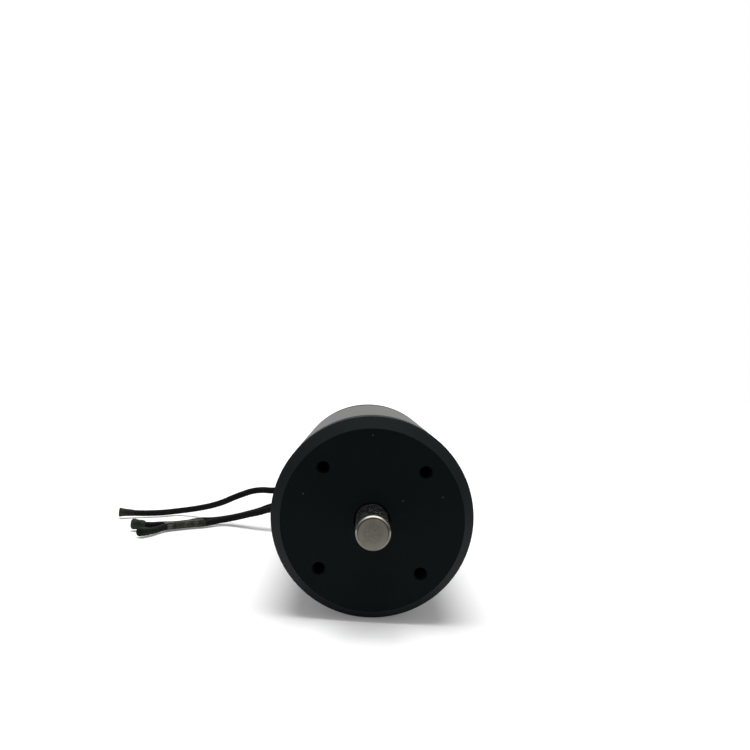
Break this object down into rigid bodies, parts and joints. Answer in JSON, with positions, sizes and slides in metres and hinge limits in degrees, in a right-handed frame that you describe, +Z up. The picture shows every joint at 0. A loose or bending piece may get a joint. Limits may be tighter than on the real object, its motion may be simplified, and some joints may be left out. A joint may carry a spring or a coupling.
{
  "type": "underwater brushless motor",
  "caption": "Sealed cylindrical underwater brushless motor with a plain round output shaft, a flat drilled mounting face and free phase leads at the rear.",
  "frame": {"origin": "centre of the front mounting face, on the shaft's axis", "axes": "-Y along the output shaft, out of the mounting face; +Y towards the rear cover; +Z up as it lies, +X to the right seen from the shaft end"},
  "size_m": [0.1526, 0.2035, 0.063],
  "materials": {
    "cover_anodised": "fine matt black anodised",
    "tube_anodised": "satin black anodised, turned",
    "shaft_steel": "ground stainless steel",
    "bearing_steel": "ground and polished",
    "bolt_steel": "satin stainless steel",
    "spring_steel": "bright spring steel",
    "lamination_steel": "stacked sheet, oxide coated",
    "rotor_steel": "turned steel",
    "magnet": "nickel plated",
    "sleeve_steel": "thin rolled stainless steel",
    "balance_brass": "turned brass",
    "copper_wire": "enamelled copper, wound",
    "insulator_plastic": "moulded glass-filled plastic",
    "cage_steel": "pressed steel",
    "seal_rubber": "matt moulded rubber",
    "grommet_rubber": "soft matt rubber",
    "resin": "cast black resin",
    "lead_silicone": "matt black silicone sheath",
    "splice_shrink": "heat-shrunk tube",
    "tip_open": "dusty open heat-shrink end",
    "tip_closed": "heat-shrunk cap",
    "tape": "wrinkled grey tape"
  },
  "bodies": {
    "housing": {"front_cover": "cover_anodised", "housing_tube": "tube_anodised", "rear_cover": "cover_anodised", "front_sealing_ring": "seal_rubber", "rear_sealing_ring": "seal_rubber", "shaft_seal": "seal_rubber", "seal_spring": "spring_steel", "seal_circlip": "spring_steel", "front_outer_race": "bearing_steel", "front_shields": "seal_rubber", "rear_outer_race": "bearing_steel", "rear_shields": "seal_rubber", "wave_washer": "spring_steel", "stator_core": "lamination_steel", "front_insulator": "insulator_plastic", "rear_insulator": "insulator_plastic", "winding_u": "copper_wire", "winding_v": "copper_wire", "winding_w": "copper_wire", "through_bolts": "bolt_steel", "bolt_seals": "seal_rubber", "lead_grommets": "grommet_rubber", "lead_resin": "resin", "lead_splices": "splice_shrink", "lead_a": "lead_silicone", "lead_b": "lead_silicone", "lead_c": "lead_silicone", "tip_a": "tip_open", "tip_b": "tip_closed", "tip_c": "tip_closed", "lead_tape": "tape"},
    "rotor": {"shaft": "shaft_steel", "rotor_core": "rotor_steel", "rotor_magnets": "magnet", "rotor_sleeve": "sleeve_steel", "front_balance_ring": "balance_brass", "rear_balance_ring": "balance_brass", "front_inner_race": "bearing_steel", "rear_inner_race": "bearing_steel", "shaft_circlip": "spring_steel"},
    "front_ball_set": {"front_balls": "bearing_steel", "front_cage": "cage_steel"},
    "rear_ball_set": {"rear_balls": "bearing_steel", "rear_cage": "cage_steel"}
  },
  "joints": [
    {"name": "rotor_spin", "type": "hinge", "parent": "housing", "child": "rotor", "pos_m": [0, 0, 0], "axis": [0, -1, 0], "continuous": true},
    {"name": "front_balls_spin", "type": "hinge", "parent": "housing", "child": "front_ball_set", "pos_m": [0, 0.015, 0], "axis": [0, -1, 0], "continuous": true},
    {"name": "rear_balls_spin", "type": "hinge", "parent": "housing", "child": "rear_ball_set", "pos_m": [0, 0.1135, 0], "axis": [0, -1, 0], "continuous": true}
  ],
  "couplings": [
    {"joint": "front_balls_spin", "follows": "rotor_spin", "ratio": 0.36778},
    {"joint": "rear_balls_spin", "follows": "rotor_spin", "ratio": 0.36767}
  ]
}
